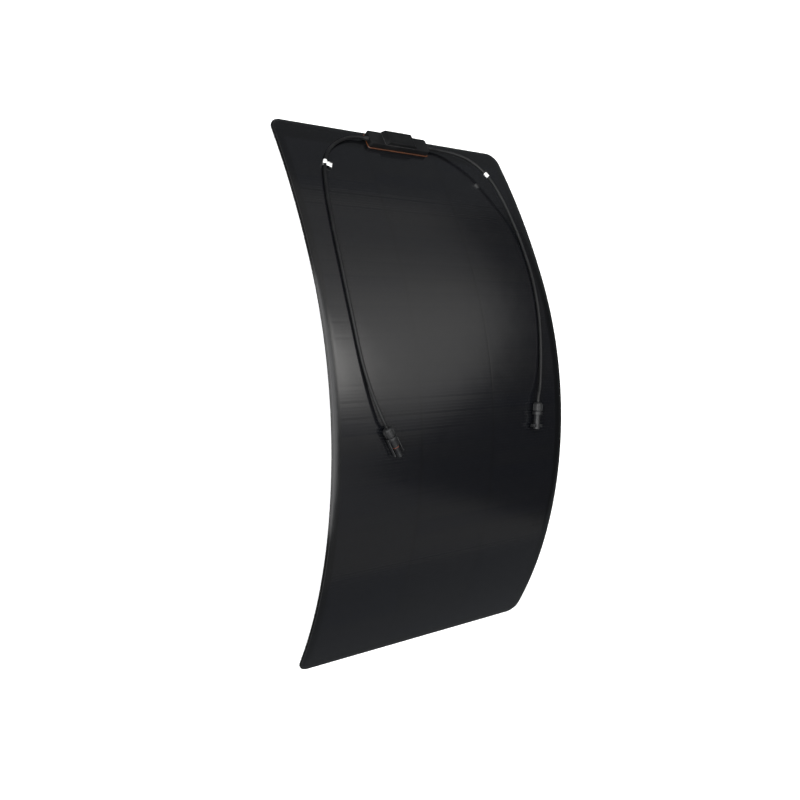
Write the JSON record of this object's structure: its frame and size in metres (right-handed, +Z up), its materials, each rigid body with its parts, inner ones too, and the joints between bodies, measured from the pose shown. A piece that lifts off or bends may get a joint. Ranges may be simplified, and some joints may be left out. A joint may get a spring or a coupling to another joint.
{
  "type": "flexible solar sheet",
  "caption": "Flexible solar sheet bent into an arch, with a low junction box at one short end and two leads that end in push-fit connectors.",
  "frame": {"origin": "centre of the footprint, on the surface that the sheet lies on", "axes": "+X across the sheet, +Y along it to the junction box end, +Z up, out of the sunny face at the crown"},
  "size_m": [0.54, 0.9906, 0.183],
  "materials": {
    "backing": "satin",
    "insulation": "satin",
    "encapsulant": "gloss",
    "front_face": "gloss",
    "cell": "gloss",
    "ribbon": "satin",
    "pad": "matt",
    "sealant": "satin",
    "box_plastic": "satin",
    "gasket": "matt",
    "copper": "satin",
    "diode": "satin",
    "bush_rubber": "matt",
    "lead_jacket": "satin",
    "marker_white": "satin",
    "connector_plastic": "satin",
    "nut_plastic": "satin",
    "seal_rubber": "matt",
    "contact_metal": "bright",
    "oring": "satin"
  },
  "bodies": {
    "sheet": {"backing_board": "backing", "insulation_film": "insulation", "rear_encapsulant": "encapsulant", "front_encapsulant": "encapsulant", "front_film": "front_face", "cells_left": "cell", "cells_middle": "cell", "cells_right": "cell", "box_end_ribbon": "ribbon", "return_ribbon": "ribbon", "box_pad": "pad", "sealant_bead": "sealant", "box_base": "box_plastic", "box_gasket": "gasket", "terminal_left": "copper", "terminal_right": "copper", "bypass_diode": "diode", "leadout_left": "ribbon", "leadout_right": "ribbon", "cable_bush_left": "bush_rubber", "cable_bush_right": "bush_rubber", "lead_tail_left": "lead_jacket", "lead_tail_right": "lead_jacket", "lead_left": "lead_jacket", "lead_right": "lead_jacket", "marker_left": "marker_white", "marker_right": "marker_white", "socket_housing": "connector_plastic", "socket_seal": "seal_rubber", "socket_contact": "contact_metal", "socket_oring": "oring", "pin_housing": "connector_plastic", "pin_seal": "seal_rubber", "pin_contact": "contact_metal"},
    "far_end": {"backing_board_far": "backing", "insulation_film_far": "insulation", "rear_encapsulant_far": "encapsulant", "front_encapsulant_far": "encapsulant", "front_film_far": "front_face", "cells_left_far": "cell", "cells_middle_far": "cell", "cells_right_far": "cell", "far_end_ribbon": "ribbon", "return_ribbon_far": "ribbon"},
    "lid": {"box_lid": "box_plastic"},
    "socket_nut": {"socket_cap_nut": "nut_plastic"},
    "pin_nut": {"pin_cap_nut": "nut_plastic"},
    "latch_left": {"latch_arm_left": "connector_plastic"},
    "latch_right": {"latch_arm_right": "connector_plastic"}
  },
  "joints": [
    {"name": "sheet_flex", "type": "hinge", "parent": "sheet", "child": "far_end", "pos_m": [0, -0.28702, 0.1163], "axis": [1, 0, 0], "range_deg": [-20, 10], "stiffness_Nm_per_rad": 40, "springref_deg": 3.44},
    {"name": "lid_lift", "type": "slide", "parent": "sheet", "child": "lid", "axis": [0, 0.4901, 0.8717], "range_m": [0, 0.03]},
    {"name": "socket_nut_turn", "type": "hinge", "parent": "sheet", "child": "socket_nut", "pos_m": [-0.16394, -0.06904, 0.17243], "axis": [0.4848, -0.8719, -0.0695], "range_deg": [-720, 0]},
    {"name": "pin_nut_turn", "type": "hinge", "parent": "sheet", "child": "pin_nut", "pos_m": [0.19283, -0.04723, 0.17334], "axis": [-0.1045, -0.9933, -0.0503], "range_deg": [-720, 0]},
    {"name": "latch_left_press", "type": "hinge", "parent": "sheet", "child": "latch_left", "pos_m": [-0.14766, -0.07919, 0.17162], "axis": [0, 0.0794, -0.9968], "range_deg": [0, 4], "stiffness_Nm_per_rad": 0.5},
    {"name": "latch_right_press", "type": "hinge", "parent": "sheet", "child": "latch_right", "pos_m": [-0.16393, -0.08818, 0.17091], "axis": [0, -0.0794, 0.9968], "range_deg": [0, 4], "stiffness_Nm_per_rad": 0.5}
  ]
}
